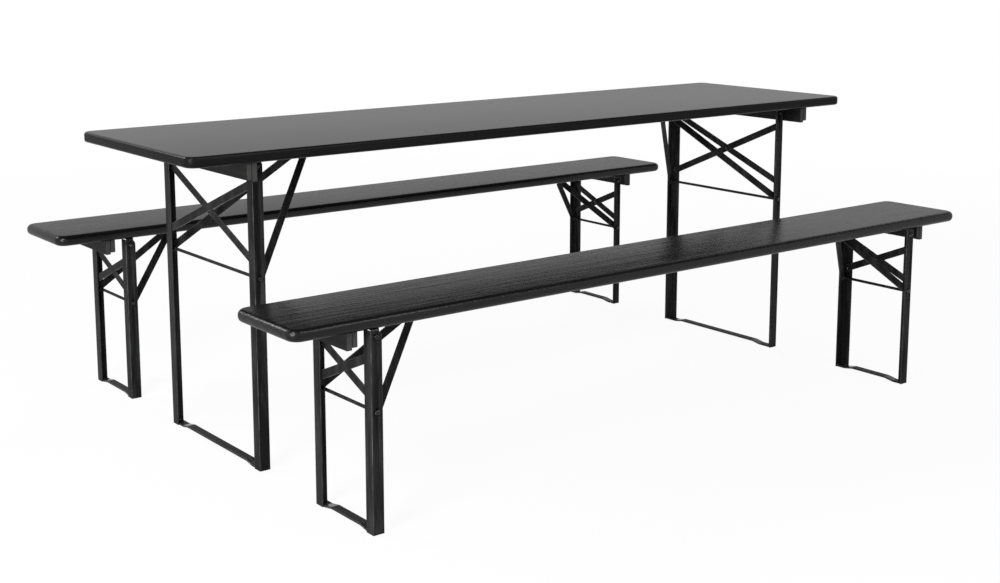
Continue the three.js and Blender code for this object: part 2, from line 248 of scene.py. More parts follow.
world = bpy.data.worlds.new("studio_sky")
scene.world = world
world.use_nodes = True
tree = world.node_tree
tree.nodes.clear()
direction = add_node(tree, "TexCoord").outputs["Generated"]
height = add_node(tree, "SeparateXYZ", Vector=direction).outputs["Z"]
studio = ramp(tree, height, 1.0, ceiling_light, backdrop_top, ceiling_start)
soft_sky, white_sky, studio_sky = (
    add_node(tree, "Background", Color=colour, Strength=strength).outputs["Background"]
    for colour, strength in ((white, sky_light), (white, 1.0), (studio, 1.0)))
seen, mirrored = seen_and_mirrored(tree)
unseen_sky = mixed(tree, mirrored, soft_sky, studio_sky)
add_node(tree, "OutputWorld", Surface=mixed(tree, seen, unseen_sky, white_sky))
print("sky:", world.name)

# %% [markdown]
# Five panels shape the black surfaces. Two at the front left, one high and one low, brighten the
# steel that faces the end of the boards, and the rounded corners mirror them as small highlights.
# One at the back left draws a line of light along the rounded ends of the seats, and a wide one in
# front does so along their long edges. The one high at the back right is for whoever walks round
# the set. From the front it would draw a bright line on every edge that the photograph does not
# show, so it isn't mirrored. Together they light a grey card on the boards about as brightly as its
# colour is written.

# %% Lamps
def soft_lamp(name, place, target, size, power):
    """A rectangular panel that faces a target. Lengths are in metres, power in watts."""
    data = bpy.data.lights.new(name, "AREA")
    data.shape = "RECTANGLE"
    data.size, data.size_y = size
    data.energy = power
    lamp = add_object(name, data)
    lamp.location = place
    lamp.rotation_euler = (Vector(target) - Vector(place)).to_track_quat("-Z", "Y").to_euler()
    return lamp


soft_lamp("left_key", (-3.5, -1.9, 2.65), (-0.9, -0.4, 0.4), (1.1, 1.1), 90)
soft_lamp("low_left", (-4.0, -1.7, 0.9), (-0.9, -0.4, 0.35), (1.2, 0.9), 65)
soft_lamp("back_left", (-2.6, 2.4, 2.5), (-0.8, 0, 0.4), (1.2, 0.9), 50)
soft_lamp("front_fill", (0.3, -3.5, 3.1), (0, 0, 0.4), (2.8, 1.0), 50)
back_fill = soft_lamp("back_fill", (2.0, 2.6, 3.4), (0.2, 0, 0.4), (1.6, 1.2), 60)
back_fill.visible_glossy = False

# %% [markdown]
# ## Black lacquer on the table
#
# The table top is a smooth board under sprayed black lacquer with a dull sheen. Seen at a low
# angle it mirrors the room, which makes the top look grey while its edges stay black. That grey
# has to come from the shader and not from paint, or the table would be grey from above too. The
# base has no gloss of its own. A thin coat over it mirrors a share of the room, and its weight is
# that share. The edges were painted by hand and are duller, so they get a finish of their own with
# less coat. Two reliefs lie in it: the grain that shows through, and the fine grit of the spray.

# %% Table lacquer
lacquer_relief = 0.00002  # metres


def lacquer_finish(name, coat_share):
    material, tree, shader = finish(name, Specular_IOR_Level=0.0, Coat_Weight=coat_share,
                                    Coat_IOR=1.32, Coat_Roughness=0.26)
    clouds = noise(tree, (2, 5, 5), detail=3)
    grain = noise(tree, (2.5, 120, 120), detail=5, distortion=0.4)
    grit = noise(tree, (700, 700, 700), detail=2)
    relief = bump(tree, grit, lacquer_relief, bump(tree, grain, lacquer_relief))
    wire(tree, shader,
         Base_Color=ramp(tree, grain, (0.004, 0.004, 0.0044), 0.007),
         Roughness=ramp(tree, clouds, 0.55, 0.65),
         Normal=relief,
         Coat_Normal=relief)
    return material


lacquer = lacquer_finish("black_table_lacquer", coat_share=0.6)
edge_paint = lacquer_finish("black_table_edge_paint", coat_share=0.3)
print("finishes:", lacquer.name, edge_paint.name)

# %% [markdown]
# ## Stained wood on the benches
#
# The seats are planks under a black stain and a brushed clear coat. Long streaks of grain show in
# it, and across them the fine ripples that a brush leaves. Streaks are a noise that is stretched
# along the plank, and annual rings are a second, wider one with a bend in it. Together they drive
# the colour and the relief, as they do in wood. The coat is glossy enough to mirror the table legs.
# On the rounded edges the coat is pitted, which breaks up the highlights there, and the stain is
# darker than on the top, a painted shade on the sides of the seats, so the edges get a finish of
# their own. Battens use the same wood, dull, with paler end grain.

# %% Wood finish
x_axis, y_axis = 0, 1
brush_share = 0.22  # depth of the brush marks in that of the grain


def grain_finish(name, along, colours, coat_share, gloss, depth, pits=0):
    """Dark stained wood with its grain along an axis. Depths of the relief are in metres."""
    def stretched(with_grain, across):
        return tuple(with_grain if axis == along else across for axis in range(3))

    material, tree, shader = finish(name, Specular_IOR_Level=0.0, Coat_Weight=coat_share,
                                    Coat_IOR=1.45, Coat_Roughness=gloss)
    streaks = noise(tree, stretched(4.0, 170), detail=6, distortion=0.6)
    rings = noise(tree, stretched(1.1, 26), detail=3, distortion=1.6)
    brush = noise(tree, stretched(70, 26), detail=3, distortion=0.5, turn=0.35)
    bands = add_node(tree, "Mix", Factor=0.5, A=streaks, B=rings).outputs["Result"]
    relief = bump(tree, bands, depth)
    relief = bump(tree, brush, depth * brush_share, relief)
    if pits:
        relief = bump(tree, noise(tree, (95, 95, 95), detail=1), pits, relief)
    wire(tree, shader,
         Base_Color=ramp(tree, bands, *colours, start=0.4, end=0.62),
         Roughness=ramp(tree, bands, 0.65, 0.5, start=0.38, end=0.64),
         Normal=relief,
         Coat_Normal=relief)
    return material, tree, shader

# %% Bench and batten stain
end_colour = (0.045, 0.045, 0.044, 1)
bench_stain, *_ = grain_finish("black_bench_stain", x_axis, (0.008, 0.018),
                               coat_share=0.37, gloss=0.18, depth=0.0013)
# Darker stain than on the top: a painted shade on the sides of the seats.
shaded_bench_edge, *_ = grain_finish("black_bench_edge", x_axis, (0.003, 0.006),
                              coat_share=0.55, gloss=0.26, depth=0.0006, pits=0.0008)
batten_stain, tree, shader = grain_finish("black_batten_stain", y_axis, (0.006, 0.014),
                                          coat_share=0.3, gloss=0.48, depth=0.0003)
normal = add_node(tree, "TexCoord").outputs["Normal"]
facing = add_node(tree, "SeparateXYZ", Vector=normal).outputs["Y"]
end_grain = math_node(tree, "ABSOLUTE", facing)
stain_colour = shader.inputs["Base Color"].links[0].from_socket
end_share = ramp(tree, end_grain, 0, 1, start=0.8, end=0.95)
paler = add_node(tree, "MixRGB", Fac=end_share, Color1=stain_colour, Color2=end_colour)
wire(tree, shader, Base_Color=paler.outputs["Color"])
print("finishes:", bench_stain.name, shaded_bench_edge.name, batten_stain.name)

# %% [markdown]
# ## Powder coat, hinge steel, spring steel and bare rivets
#
# Powder coat bakes into a skin like fine orange peel, so its relief is a small round noise. It has
# no grain, but it rubs a little where feet and hands reach: pale, dull smudges from a coarse noise.
# Edges, the heels of the legs and the narrow faces of the bars get a smoother, glossier coat that
# mirrors real light, with a paler colour broken up by a noise, which is a painted highlight, so
# each edge shows as a broken pale line. Rivet heads and the welds at the feet are glossier under
# the same coat and rubbed through in specks, so that finish turns to metal where a noise is high.
# The spring leaf is bright steel with a brushed sheen.

# %% Steel finishes
rubbed = 0.42, 0.76  # levels of the noise between which the coat gets pale
coat, tree, shader = finish("black_powder_coat", Specular_IOR_Level=0.05)
peel = noise(tree, (420, 420, 420), detail=2)
rubs = noise(tree, (45, 45, 6), detail=7, distortion=0.5)
wire(tree, shader,
     Base_Color=ramp(tree, rubs, (0.0075, 0.0075, 0.008), (0.033, 0.033, 0.0335), *rubbed),
     Roughness=ramp(tree, rubs, 0.4, 0.55),
     Normal=bump(tree, peel, 0.00008))

edge_highlight_levels = 0.42, 0.66  # levels of the noise between which an edge gets the paler colour of the painted highlight
# Edges: a glossier coat that mirrors real light, and a paler colour that is a painted highlight.
edge_highlight_coat, tree, shader = finish("coat_edge_painted_highlight", Specular_IOR_Level=0.35)
edge_highlight_breakup = noise(tree, (24, 24, 24), detail=5, distortion=0.4)
wire(tree, shader,
     Base_Color=ramp(tree, edge_highlight_breakup, (0.01, 0.01, 0.0105), 0.065, *edge_highlight_levels),
     Roughness=ramp(tree, edge_highlight_breakup, 0.42, 0.28, *edge_highlight_levels))

worn = 0.63, 0.71  # levels between which it turns to bare metal
worn_coat, tree, shader = finish("worn_rivet_coat", Specular_IOR_Level=0.25)
specks = noise(tree, (260, 260, 260), detail=3)
wire(tree, shader,
     Base_Color=ramp(tree, specks, 0.005, 0.5, *worn),
     Metallic=ramp(tree, specks, 0, 1, *worn),
     Roughness=ramp(tree, specks, 0.22, 0.34, *worn))
print("finishes:", coat.name, edge_highlight_coat.name, worn_coat.name)

# %% Bare metals
marked = 0.36, 0.62  # levels between which a mark turns into clean metal
duller = 0.16  # how much rougher a mark is


def metal_finish(name, stretch, dark, bright, gloss, depth):
    material, tree, shader = finish(name, Metallic=1.0)
    marks = noise(tree, stretch, detail=6, distortion=0.3)
    wire(tree, shader,
         Base_Color=ramp(tree, marks, dark, bright, *marked),
         Roughness=ramp(tree, marks, gloss + duller, gloss, *marked),
         Normal=bump(tree, marks, depth))
    return material


hinge_steel = metal_finish("dark_hinge_steel", (160, 160, 160), (0.045, 0.045, 0.048),
                           (0.09, 0.09, 0.095), gloss=0.38, depth=0.00005)
spring_steel = metal_finish("bright_spring_steel", (20, 900, 400), (0.3, 0.3, 0.31),
                            (0.5, 0.5, 0.52), gloss=0.3, depth=0.00002)
bare_steel = metal_finish("rubbed_rivet_steel", (330, 330, 330), (0.09, 0.09, 0.092),
                          (0.46, 0.46, 0.47), gloss=0.3, depth=0.00006)
print("finishes:", hinge_steel.name, spring_steel.name, bare_steel.name)

# %% [markdown]
# ## One way to make every shape: a skin over rings
#
# A board, a bent strip, a rivet and an angle leg look different, yet each is a row of rings with a
# skin of quads from one to the next and a cap on both ends. Primitives cut with booleans would also
# work, but they leave messy faces. With rings the mesh stays clean, and one function serves all.
# Shapes are written in millimetres in the frame of the left end: X runs inwards from the outer face
# of the legs, Y across the board and Z up.

# %% Rings and skins
def skin(rings, loop=False):
    """Quads between neighbouring rings, with caps on both ends unless the row closes on itself."""
    count = len(rings[0])
    points = [tuple(point) for ring in rings for point in ring]
    faces = []
    for row in range(len(rings) if loop else len(rings) - 1):
        here = row * count
        there = (row + 1) % len(rings) * count
        for i in range(count):
            j = (i + 1) % count
            faces.append((here + i, here + j, there + j, there + i))
    if not loop:
        faces.append(tuple(range(count)))
        faces.append(tuple(range(len(points) - count, len(points))))
    return points, faces


def moved(shape, matrix):
    """A shape is a list of points and a list of faces. Only the points move."""
    points, faces = shape
    return [tuple(matrix @ Vector(point)) for point in points], faces


def joined(*shapes):
    points, faces = [], []
    for more_points, more_faces in shapes:
        start = len(points)
        points += more_points
        faces += [tuple(start + i for i in face) for face in more_faces]
    return points, faces


def shift(x, y, z):
    return Matrix.Translation((x, y, z))


def arc(steps, turn=math.pi / 2):
    """(cosine, sine) pairs at equal steps of a turn."""
    angles = [turn * step / steps for step in range(steps + 1)]
    return [(math.cos(angle), math.sin(angle)) for angle in angles]


def circle(sides):
    return arc(sides, 2 * math.pi)[:-1]


def turned(profile, sides=28):
    """A round piece about the Y axis from (radius, place) pairs."""
    return skin([[(r * c, y, r * s) for c, s in circle(sides)] for r, y in profile])


def rounded_outline(length, width, radius, steps=10):
    """A rectangle about the origin with round corners, as (x, y) points."""
    outline = []
    for corner, (sx, sy) in enumerate(((1, 1), (-1, 1), (-1, -1), (1, -1))):
        for step in range(steps + 1):
            angle = math.pi / 2 * (corner + step / steps)
            outline.append((sx * (length / 2 - radius) + radius * math.cos(angle),
                            sy * (width / 2 - radius) + radius * math.sin(angle)))
    return outline


print("shape helpers ready")

# %% [markdown]
# ## From a shape to a piece that rides on the frame
#
# A finished piece needs more than a mesh: outward faces, eased edges, a finish, the body it moves
# with and the CAD nodes it stands for. A bevel modifier eases the edges, since real steel and wood
# have no razor edges and the small round catches a line of light. Hardened normals keep the large
# faces flat while the bevel shades as a curve.

# %% Making a piece
MM = 0.001
sharp_angle = math.radians(40)  # edges that turn by more than this are eased
crease_angle = math.radians(50)  # and on pieces without eased edges these are creased


@contextmanager
def edited(mesh):
    """Lends out the net of a mesh for changes and writes it back."""
    net = bmesh.new()
    net.from_mesh(mesh)
    yield net
    net.to_mesh(mesh)
    net.free()


def mesh_of(name, parts, place):
    """One mesh from (shape, material) pairs, moved to its place and turned into metres."""
    shape = joined(*(part for part, _ in parts))
    mesh = bpy.data.meshes.new(name)
    mesh.from_pydata([(place @ Vector(point)) * MM for point in shape[0]], [], shape[1])
    materials = list(dict.fromkeys(material for _, material in parts))
    for material in materials:
        mesh.materials.append(material)
    indices = [materials.index(material) for part, material in parts for _ in part[1]]
    mesh.polygons.foreach_set("material_index", indices)
    with edited(mesh) as net:
        bmesh.ops.recalc_face_normals(net, faces=net.faces)
    mesh.shade_smooth()
    return mesh


def finish_place(mesh, material):
    """The place of a finish in a mesh's list, where it is added if it isn't there yet."""
    if material.name not in mesh.materials:
        mesh.materials.append(material)
    return mesh.materials.find(material.name)


def refinish(mesh, material, chosen):
    """Gives another finish to the faces for which chosen(face) is true."""
    place = finish_place(mesh, material)
    for face in mesh.polygons:
        if chosen(face):
            face.material_index = place


def make_piece(mesh, body, slot, stands_for=(), ease=0.0, edge_finish=None):
    """Puts a mesh in the scene as a piece on a body. ease is the width of its bevel."""
    piece = add_object(mesh.name, mesh)
    if ease:
        edge = piece.modifiers.new("eased_edges", "BEVEL")
        edge.width = ease * MM
        edge.segments = 2
        edge.limit_method = "WEIGHT" if "bevel_weight_edge" in mesh.attributes else "ANGLE"
        edge.angle_limit = sharp_angle
        edge.harden_normals = True
        if edge_finish:
            edge.material = finish_place(mesh, edge_finish)
    else:
        mesh.set_sharp_from_angle(angle=crease_angle)
    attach(piece, body)
    if stands_for:
        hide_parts(*stands_for)

# %% [markdown]
# ## Reading sizes from the CAD
#
# Places and overall sizes are not typed in. They are read from the boxes of the CAD nodes and from
# the joints, once for the table and once for each bench. Only thicknesses, rounds and other small
# sizes are written beside each shape. The six leg frames are then listed, each with a matrix that
# puts its shapes in place. The right-hand frames are the left-hand ones turned half round about the
# middle of the board.

# %% Sizes of a table and of a bench
joint_place = {joint["name"]: Vector(joint["pos_m"]) / MM
               for joint in frame["joints"] if "pos_m" in joint}


def cad_box_of(node, centre_y):
    """The corners of a node's box in millimetres from the middle of its board."""
    low, high = (corner / MM - Vector((0, centre_y, 0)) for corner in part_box(node))
    return low, high


cross_nodes = {"table": ("outer_cross_bar", "inner_cross_bar"),
               "bench": ("cross_bars", "cross_bars")}


def measured(name, kind, board, body):
    """The sizes of a table or a bench, with those of its left end taken from the legs inwards."""
    low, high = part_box(board)
    centre_y = (low.y + high.y) / 2 / MM
    size = SimpleNamespace(name=name, kind=kind, board=board, body=body, centre_y=centre_y)
    size.board_low, size.board_high = cad_box_of(board, centre_y)
    size.underside = size.board_low.z
    left = name + "_left_"
    leg_low, leg_high = cad_box_of(left + "front_leg", centre_y)
    inwards = Vector((leg_low.x, 0, 0))
    size.leg_x = leg_low.x
    size.flange = leg_high.x - leg_low.x
    size.leg_side = -leg_low.y
    size.leg_top = leg_high.z

    def local(node):
        return tuple(corner - inwards for corner in cad_box_of(left + node, centre_y))

    size.pivot = joint_place[left + "leg_fold"] - inwards
    size.rod = joint_place[left + "brace_fold"] - inwards
    size.foot_bar = local("foot_bar")
    size.batten = local("batten")
    size.catch = local("spring_catch")
    size.cross = [local(node) for node in cross_nodes[kind]]
    return size


furniture = [measured("table", "table", "table_top", "table_top"),
             measured("near_bench", "bench", "near_bench_seat", "near_bench_board"),
             measured("far_bench", "bench", "far_bench_seat", "far_bench_board")]
for size in furniture:
    print(size.name, "underside", round(size.underside, 1),
          "legs", round(size.leg_x, 1), round(size.leg_side, 1))

# %% List of the six leg frames
def end_frames():
    for size in furniture:
        for end, turn in (("left", 0), ("right", math.pi)):
            middle = shift(0, size.centre_y, 0)
            place = middle @ Matrix.Rotation(turn, 4, "Z") @ shift(size.leg_x, 0, 0)
            yield SimpleNamespace(name=size.name + "_" + end + "_", size=size, place=place,
                                  kind=size.kind, board=size.body, is_right=end == "right")


def dress(end, name, parts, body, slot, nodes=(), refinished=None, **edges):
    """Makes a piece of a leg frame. refinished is a pair: a finish and which faces get it."""
    mesh = mesh_of(end.name + name, parts, end.place)
    if refinished:
        refinish(mesh, *refinished)
    make_piece(mesh, body, slot, [end.name + node for node in nodes], **edges)


frames = list(end_frames())
print("leg frames:", [end.name for end in frames])

# %% [markdown]
# ## The boards
#
# A board is a rounded rectangle whose upper and lower edges are rounded over: tightly on the table
# and almost to a half round on the seats. Each ring of the skin is the outline drawn in by a little
# and set at its height on the edge, so the round runs smoothly through the corners.

# %% Boards
edge_round = {"table": 7.0, "bench": 12.5}
corner_round = {"table": 28.0, "bench": 30.0}
edge_steps = 7


def board_shape(size):
    low, high = size.board_low, size.board_high
    length, width = high.x - low.x, high.y - low.y
    edge, corner = edge_round[size.kind], corner_round[size.kind]

    def rings(base, upwards):
        for c, s in arc(edge_steps):
            inset = edge * (1 - s)
            z = base + upwards * edge * (1 - c)
            outline = rounded_outline(length - 2 * inset, width - 2 * inset, corner - inset)
            yield [(x, y, z) for x, y in outline]

    return skin([*rings(low.z, 1), *reversed([*rings(high.z, -1)])])


edge_slope = {"table": 0.45, "bench": 0.95}  # a face that is less level than this is an edge
board_finish = {"table": (lacquer, edge_paint), "bench": (bench_stain, shaded_bench_edge)}
for name, size in zip(("table_board", "near_seat_plank", "far_seat_plank"), furniture):
    level_finish, edge_finish = board_finish[size.kind]
    mesh = mesh_of(name, [(board_shape(size), level_finish)], shift(0, size.centre_y, 0))
    # Edge faces get their own finish; on the seats its darker stain is a painted shade.
    refinish(mesh, edge_finish, lambda face: abs(face.normal.z) < edge_slope[size.kind])
    make_piece(mesh, size.body, size.kind + "_board", [size.board])
    print(name, len(mesh.polygons), "faces")

# %% [markdown]
# ## Battens under the ends
#
# Across each end of a board, just outside the legs, two strips of wood are screwed on as a stop for
# the frame. One strip hangs a little lower than the other. They are made as two planks with a seam
# between them, because a single stepped block would lose the line where they meet.

# %% Battens
deep_strip = 14.0
strip_step = 5.0
strip_seam = 0.4
batten_ease = 1.6


def plank(low, high):
    (x0, y0, z0), (x1, y1, z1) = low, high
    section = [(x0, z0), (x1, z0), (x1, z1), (x0, z1)]
    return skin([[(x, y, z) for x, z in section] for y in (y0, y1)])


def batten_parts(end):
    low, high = end.size.batten
    deep_inside = end.kind == "table"
    seam = high.x - deep_strip if deep_inside else low.x + deep_strip
    outer_low = low.z + strip_step if deep_inside else low.z
    inner_low = low.z if deep_inside else low.z + strip_step
    outer = plank((low.x, low.y, outer_low), (seam - strip_seam / 2, high.y, high.z))
    inner = plank((seam + strip_seam / 2, low.y, inner_low), (high.x, high.y, high.z))
    return joined(outer, inner)


for end in frames:
    dress(end, "batten_strips", [(batten_parts(end), batten_stain)], end.board, "batten_wood",
          ["batten"], ease=batten_ease)
print("battens:", len(frames))

# %% [markdown]
# ## Angle-steel legs
#
# A leg is hot-rolled angle: two flanges, a heel with a small round outside and a fillet inside. Its
# top is cut round where it turns under the board. Each ring of the skin is one slice across the
# flange, from the tip of one flange round the heel to the tip of the other, and its upper points
# follow the round top. The narrow faces that the slices leave on a flange are merged, or they would
# hold the bevel of its edges to their own width. The holes for the hinge pin and the rod are then
# drilled by a boolean, which is quicker than weaving them into the rings. Heads cover their rims,
# so only the other edges are marked for the bevel.

# %% Leg shape
steel = 3.0  # thickness of the angle
heel_round = 1.4
fillet_round = 3.0
flat_start = 9.0  # from the heel, where a flange is flat on both sides
heel_steps = 4
top_steps = 9


def leg_shape(size, side):
    """Slices of (outer, inner) points. The second coordinate is the depth behind the side face."""
    slices = [((0, depth), (steel, depth)) for depth in (size.flange, flat_start)]
    inner_centre = steel + fillet_round
    for c, s in arc(heel_steps):
        slices.append(((heel_round * (1 - c), heel_round * (1 - s)),
                       (inner_centre - fillet_round * c, inner_centre - fillet_round * s)))
    radius = size.flange - size.pivot.x
    round_places = [size.pivot.x + radius * s for _, s in arc(top_steps)]
    slices += [((x, 0), (x, steel)) for x in (flat_start, *round_places)]
    rings = []
    for outer, inner in slices:
        over = max(0, outer[0] - size.pivot.x)
        round_top = size.pivot.z + math.sqrt(max(0, radius ** 2 - over ** 2))
        top = round_top if over else size.leg_top
        across = [side * (size.leg_side - depth) for depth in (outer[1], inner[1])]
        rings.append([(outer[0], across[0], 0), (outer[0], across[0], top),
                      (inner[0], across[1], top), (inner[0], across[1], 0)])
    return skin(rings)

# %% Drilling
hole_radius = 4.4
hole_sides = 24
rim_gap = 0.1  # how far off its circle a corner still counts as on the rim
flat_angle = math.radians(0.5)
in_millimetres = Matrix.Scale(1 / MM, 4)  # undoes the change to metres


def merge_flats(mesh):
    with edited(mesh) as net:
        bmesh.ops.dissolve_limit(net, angle_limit=flat_angle, verts=net.verts, edges=net.edges)


def mark_edges(mesh, holes):
    """Marks the sharp edges for the bevel, but not the rims of the holes."""
    def on_rim(point):
        return any(math.hypot(point.x - x, point.z - z) < hole_radius + rim_gap
                   for x, _, z in holes)

    with edited(mesh) as net:
        weight = net.edges.layers.float.new("bevel_weight_edge")
        for edge in net.edges:
            rim = all(on_rim(corner.co) for corner in edge.verts)
            edge[weight] = edge.calc_face_angle(0) > sharp_angle and not rim


def drilled(mesh, holes):
    """The mesh with round holes along Y at (x, y, z) places, all still in millimetres."""
    work = add_object("drilling", mesh)
    tools = []
    shape = turned([(hole_radius, -steel), (hole_radius, steel)], hole_sides)
    for place in holes:
        tool_mesh = mesh_of("drill", [(moved(shape, shift(*place)), coat)], in_millimetres)
        tool = add_object("drill", tool_mesh)
        cut = work.modifiers.new("hole", "BOOLEAN")
        cut.object = tool
        cut.solver = "EXACT"
        tools.append(tool)
    graph = bpy.context.evaluated_depsgraph_get()
    result = bpy.data.meshes.new_from_object(work.evaluated_get(graph))
    for used in (work, *tools):
        bpy.data.objects.remove(used)
    return result

# %% Legs
leg_ease = 0.7


def leg_mesh(size, side):
    """A drilled leg in millimetres with a painted highlight along its heel."""
    plain = mesh_of("angle_leg", [(leg_shape(size, side), coat)], in_millimetres)
    merge_flats(plain)
    y = side * (size.leg_side - steel / 2)
    holes = [(size.pivot.x, y, size.pivot.z), (size.rod.x, y, size.rod.z)]
    mesh = drilled(plain, holes)
    mark_edges(mesh, holes)
    # The heel takes the paler edge coat: a painted highlight along it.
    heel = size.leg_side - heel_round
    refinish(mesh, edge_highlight_coat,
             lambda face: face.center.x < heel_round and abs(face.center.y) > heel)
    return mesh


leg_meshes = {}
for end in frames:
    for side in (-1, 1):
        key = (end.kind, side)
        if key not in leg_meshes:
            leg_meshes[key] = leg_mesh(end.size, side)
        side_name = "front" if (side < 0) != end.is_right else "rear"
        node = end.name + side_name + "_leg"
        mesh = leg_meshes[key].copy()
        mesh.name = node + "_angle"
        mesh.transform(Matrix.Scale(MM, 4) @ end.place)
        mesh.shade_smooth()
        # Its eased edges take the paler edge coat too: a painted highlight on each edge.
        make_piece(mesh, end.name + "legs", "black_steel", [node],
                   ease=leg_ease, edge_finish=edge_highlight_coat)
print("leg shapes:", {key: len(mesh.polygons) for key, mesh in leg_meshes.items()})

# %% [markdown]
# ## Foot bars and their welds
#
# A flat bar joins the two feet. Its ends lie on the floor and its middle is bent up a little, which
# lets the table stand on uneven ground. It is a strip along a bent line: at each point of the line
# sits a small rectangle, square to the run. The bends scrape over the ground first, so they have
# the worn finish. A weld is a tube whose thickness ripples, as beads do.

# %% Bent strips
def rounded_line(points, radius, steps=5):
    """The line through (y, z) points with each inner corner rounded."""
    points = [Vector(point) for point in points]
    line = [points[0]]
    for before, corner, after in zip(points, points[1:], points[2:]):
        back = (before - corner).normalized()
        onward = (after - corner).normalized()
        half_turn = (math.pi - back.angle(onward)) / 2
        reach = radius * math.tan(half_turn)
        start, stop = corner + back * reach, corner + onward * reach
        for step in range(steps + 1):
            t = step / steps
            line.append((1 - t) ** 2 * start + 2 * t * (1 - t) * corner + t ** 2 * stop)
    return line + [points[-1]]


def bent_strip(line, thickness, across):
    """A strip bent in the YZ plane. across gives its two X places at each point of the line."""
    rings = []
    for i, point in enumerate(line):
        run = (line[min(i + 1, len(line) - 1)] - line[max(i - 1, 0)]).normalized()
        out = Vector((-run.y, run.x)) * thickness / 2
        x0, x1 = across(point)
        low, high = point - out, point + out
        rings.append([(x0, *low), (x1, *low), (x1, *high), (x0, *high)])
    return skin(rings)


bead_sides = 10
ripple_steps = 4
ripple_height = 0.16  # as a share of the radius
end_taper = 0.75
taper_power = 6  # a high one keeps the taper close to the ends


def weld_bead(start, stop, radius, ripples):
    """A rippled bead between two points."""
    start, stop = Vector(start), Vector(stop)
    run = (stop - start).normalized()
    side = run.orthogonal().normalized()
    up = run.cross(side)
    rings = []
    steps = ripples * ripple_steps
    for step in range(steps + 1):
        t = step / steps
        swell = 1 - end_taper * abs(2 * t - 1) ** taper_power
        r = radius * swell * (1 + ripple_height * math.cos(2 * math.pi * ripples * t))
        centre = start.lerp(stop, t)
        rings.append([centre + r * (c * side + s * up) for c, s in circle(bead_sides)])
    return skin(rings)

# %% Foot bars
foot_steel = 5.0
foot_rise = 5.0
foot_slope = 28.0
foot_flat = {"table": 45.0, "bench": 28.0}
foot_bend = 14.0
# Eased edges of the bars and braces take the paler edge coat: a painted highlight on each edge.
bar_edges = {"ease": 0.8, "edge_finish": edge_highlight_coat}
end_bead, side_bead = 2.1, 1.8  # radii
bead_ripples = 6
end_bead_inset = 0.6  # from the end of the bar
end_bead_margins = (2.0, 1.0)  # from its outer and its inner edge
side_bead_run = (3.0, 20.0)  # from the end of the bar


def foot_beads(low, high):
    """At each foot a weld across the end of the bar and one along its outer edge."""
    across = (low.x + end_bead_margins[0], high.x - end_bead_margins[1])
    for side in (-1, 1):
        y = side * (high.y - end_bead_inset)
        yield weld_bead(*((x, y, foot_steel) for x in across), end_bead, bead_ripples)
        run = [side * (high.y - inset) for inset in side_bead_run]
        yield weld_bead(*((low.x, y, foot_steel) for y in run), side_bead, bead_ripples)


for end in frames:
    low, high = end.size.foot_bar
    flat = high.y - foot_flat[end.kind]
    raised = flat - foot_slope
    middle = foot_steel / 2
    corners = [(low.y, middle), (-flat, middle), (-raised, middle + foot_rise),
               (raised, middle + foot_rise), (flat, middle), (high.y, middle)]
    bar = bent_strip(rounded_line(corners, foot_bend), foot_steel, lambda point: (low.x, high.x))
    legs = end.name + "legs"
    dress(end, "foot_strip", [(bar, coat)], legs, "black_steel", ["foot_bar"],
          (worn_coat, lambda face: raised < abs(face.center.y / MM - end.size.centre_y) < flat),
          **bar_edges)
    dress(end, "foot_welds", [(joined(*foot_beads(low, high)), worn_coat)], legs, "black_steel")
print("foot bars:", len(frames))

# %% [markdown]
# ## Crossed bars and rivets
#
# Two flat bars with round ends cross between the legs of a pair and keep them square. One lies on
# the flange, the other lies on the first, so its ends stand on washers. Rivets with low domes hold
# the ends and the crossing.

# %% Crossed bars
bar_width = 20.0
bar_steel = 3.0
bar_end_round = 9.0
outer_bar_x = 3.3
inner_bar_x = 6.6
bar_end_steps = 8
end_rivet = (5.5, 2.4)  # radius and height of the head
cross_rivet = (6.0, 2.6)
rivet_sides = 24
washer_radius = 7.0
washer_gap = 0.1
along_x = Matrix.Rotation(math.radians(-90), 4, "Z")  # turns a round piece from the Y axis to X
dome = [(1.0, 1.0), (0.96, 1.5), (0.82, 2.2), (0.58, 2.75), (0.3, 3.0), (0.08, 3.05)]


def flat_bar(length, x):
    outline = rounded_outline(length, bar_width, bar_end_round, bar_end_steps)
    return skin([[(x + depth, y, z) for y, z in outline] for depth in (0, bar_steel)])


def rivet(radius, height):
    """A domed head that stands on Y = 0."""
    profile = [(radius, 0)] + [(radius * r, height * y / dome[-1][1]) for r, y in dome]
    return turned(profile, rivet_sides)


def end_rivets(x, length, turn):
    """Rivets at both ends of a bar, on washers where the bar stands off the flange."""
    for side in (-1, 1):
        foot = turn @ Vector((x, side * length / 2, 0))
        yield moved(rivet(*end_rivet), shift(foot.x + bar_steel, foot.y, foot.z) @ along_x)
        if x == inner_bar_x:
            height = inner_bar_x - outer_bar_x - washer_gap
            washer = turned([(washer_radius, 0), (washer_radius, height)], rivet_sides)
            yield moved(washer, shift(outer_bar_x, foot.y, foot.z) @ along_x)

# %% Placing the crossed bars
def is_narrow(face):
    """Whether a face of a bar is one of its narrow ones, which don't look along X."""
    return abs(face.normal.x) < 0.5


